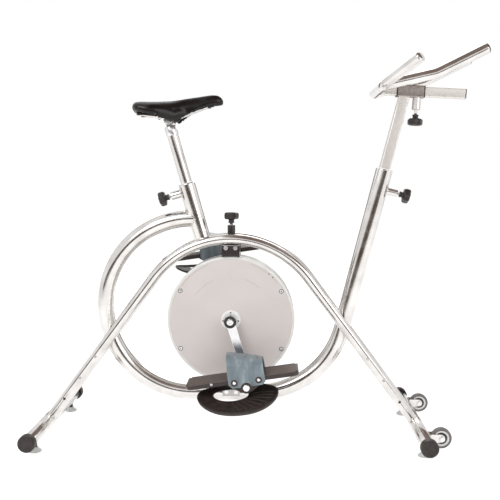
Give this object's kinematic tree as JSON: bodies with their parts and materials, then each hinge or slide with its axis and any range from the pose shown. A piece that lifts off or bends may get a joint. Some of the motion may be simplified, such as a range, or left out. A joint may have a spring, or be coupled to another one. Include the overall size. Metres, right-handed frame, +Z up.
{
  "type": "underwater exercise bike",
  "caption": "Stainless tube exercise bike for a pool: looped main tube on arched legs, covered crank drive with footplates and straps, adjustable saddle and horned handlebar.",
  "frame": {"origin": "on the floor, under the middle of the whole bike at rest", "axes": "+X ahead as the rider faces, +Y to the rider's left, +Z up"},
  "size_m": [1.2808, 0.5206, 1.1271],
  "materials": {
    "steel": "mirror-polished stainless",
    "brushed": "brushed stainless",
    "alloy": "polished",
    "zinc": "satin",
    "black": "moulded black",
    "rubber": "matt black rubber",
    "vinyl": "glossy black cover",
    "housing": "off-white with a fine grain",
    "white": "white",
    "clear": "milky translucent",
    "strap": "smoky translucent",
    "board": "ribbed dark grey",
    "tyre": "grey rubber"
  },
  "bodies": {
    "frame": {"main_tube": "steel", "seat_tube": "steel", "seat_post_bushing": "black", "stem_bushing": "white", "top_bracket": "black", "bottom_bracket": "black", "leg_arch_right": "steel", "leg_arch_left": "steel", "base_bar_rear": "steel", "base_bar_front": "steel", "end_cap_rear_right": "rubber", "suction_foot_rear_right": "clear", "end_cap_rear_left": "rubber", "suction_foot_rear_left": "clear", "end_cap_front_right": "rubber", "suction_foot_front_right": "clear", "end_cap_front_left": "rubber", "suction_foot_front_left": "clear", "wheel_bracket_right": "zinc", "housing_right": "housing", "bearing_right": "white", "wheel_bracket_left": "zinc", "housing_left": "housing", "bearing_left": "white"},
    "crankset": {"brake_rotor": "zinc", "crank_axle": "alloy", "crank_right": "alloy", "crank_left": "alloy"},
    "pedal_right": {"footplate_right": "board", "foot_strap_right": "strap", "pedal_dish_right": "rubber"},
    "pedal_left": {"footplate_left": "board", "foot_strap_left": "strap", "pedal_dish_left": "rubber"},
    "brake": {"brake_shoe": "black", "brake_screw": "alloy"},
    "brake_handle": {"brake_knob": "black"},
    "seat_mast": {"seat_post": "steel", "saddle_head": "black"},
    "saddle": {"saddle_clamp": "zinc", "saddle_rails": "steel", "saddle_base": "black", "saddle_pad": "vinyl"},
    "seat_stud": {"seat_knob_stud": "alloy"},
    "seat_grip": {"seat_knob": "black"},
    "stem": {"handlebar_stem": "brushed", "sleeve_bushing_front": "black", "sleeve_bushing_rear": "black"},
    "stem_stud": {"stem_knob_stud": "alloy"},
    "stem_grip": {"stem_knob": "black"},
    "handlebars": {"handlebar": "steel", "slide_bar_plug": "black", "grip_plug_right": "white", "grip_plug_left": "white", "horn_plug_right": "black", "horn_plug_left": "black"},
    "slide_stud": {"slide_knob_stud": "alloy"},
    "slide_grip": {"slide_knob": "black"},
    "wheel_right": {"transport_wheel_right": "tyre"},
    "wheel_left": {"transport_wheel_left": "tyre"}
  },
  "joints": [
    {"name": "crank_spin", "type": "hinge", "parent": "frame", "child": "crankset", "pos_m": [-0.07314, 0, 0.3485], "axis": [0, 1, 0], "continuous": true},
    {"name": "pedal_spin_right", "type": "hinge", "parent": "crankset", "child": "pedal_right", "pos_m": [-0.02185, -0.1355, 0.18642], "axis": [0, 1, 0], "continuous": true},
    {"name": "pedal_spin_left", "type": "hinge", "parent": "crankset", "child": "pedal_left", "pos_m": [-0.12443, 0.1355, 0.51058], "axis": [0, 1, 0], "continuous": true},
    {"name": "brake_lower", "type": "slide", "parent": "frame", "child": "brake", "axis": [0, 0, -1], "range_m": [0, 0.0054]},
    {"name": "brake_turn", "type": "hinge", "parent": "brake", "child": "brake_handle", "pos_m": [-0.07314, 0, 0.652], "axis": [0, 0, -1], "range_deg": [0, 1296]},
    {"name": "seat_height", "type": "slide", "parent": "frame", "child": "seat_mast", "axis": [-0.2716, 0, 0.9624], "range_m": [-0.06, 0.06]},
    {"name": "saddle_tilt", "type": "hinge", "parent": "seat_mast", "child": "saddle", "pos_m": [-0.2552, 0, 0.92693], "axis": [0, 1, 0], "range_deg": [-8, 8]},
    {"name": "seat_clamp", "type": "slide", "parent": "frame", "child": "seat_stud", "axis": [-0.9624, 0, -0.2716], "range_m": [0, 0.003]},
    {"name": "seat_knob_turn", "type": "hinge", "parent": "seat_stud", "child": "seat_grip", "pos_m": [-0.27489, 0, 0.70214], "axis": [-0.9624, 0, -0.2716], "range_deg": [0, 720]},
    {"name": "stem_height", "type": "slide", "parent": "frame", "child": "stem", "axis": [0.2436, 0, 0.9699], "range_m": [-0.1, 0.09]},
    {"name": "stem_clamp", "type": "slide", "parent": "frame", "child": "stem_stud", "axis": [0.9699, 0, -0.2436], "range_m": [0, 0.003]},
    {"name": "stem_knob_turn", "type": "hinge", "parent": "stem_stud", "child": "stem_grip", "pos_m": [0.4359, 0, 0.71126], "axis": [0.9699, 0, -0.2436], "range_deg": [0, 720]},
    {"name": "handlebar_reach", "type": "slide", "parent": "stem", "child": "handlebars", "axis": [0.9985, 0, -0.0541], "range_m": [-0.1, 0.035]},
    {"name": "slide_clamp", "type": "slide", "parent": "stem", "child": "slide_stud", "axis": [-0.0541, 0, -0.9985], "range_m": [0, 0.003]},
    {"name": "slide_knob_turn", "type": "hinge", "parent": "slide_stud", "child": "slide_grip", "pos_m": [0.45849, 0, 0.92954], "axis": [-0.0541, 0, -0.9985], "range_deg": [0, 720]},
    {"name": "wheel_spin_right", "type": "hinge", "parent": "frame", "child": "wheel_right", "pos_m": [0.51789, -0.165, 0.045], "axis": [0, 1, 0], "continuous": true},
    {"name": "wheel_spin_left", "type": "hinge", "parent": "frame", "child": "wheel_left", "pos_m": [0.51789, 0.165, 0.045], "axis": [0, 1, 0], "continuous": true}
  ],
  "couplings": [
    {"joint": "brake_turn", "follows": "brake_lower", "rad_per_m": 4188.8},
    {"joint": "seat_knob_turn", "follows": "seat_clamp", "rad_per_m": 4188.8},
    {"joint": "stem_knob_turn", "follows": "stem_clamp", "rad_per_m": 4188.8},
    {"joint": "slide_knob_turn", "follows": "slide_clamp", "rad_per_m": 4188.8}
  ]
}
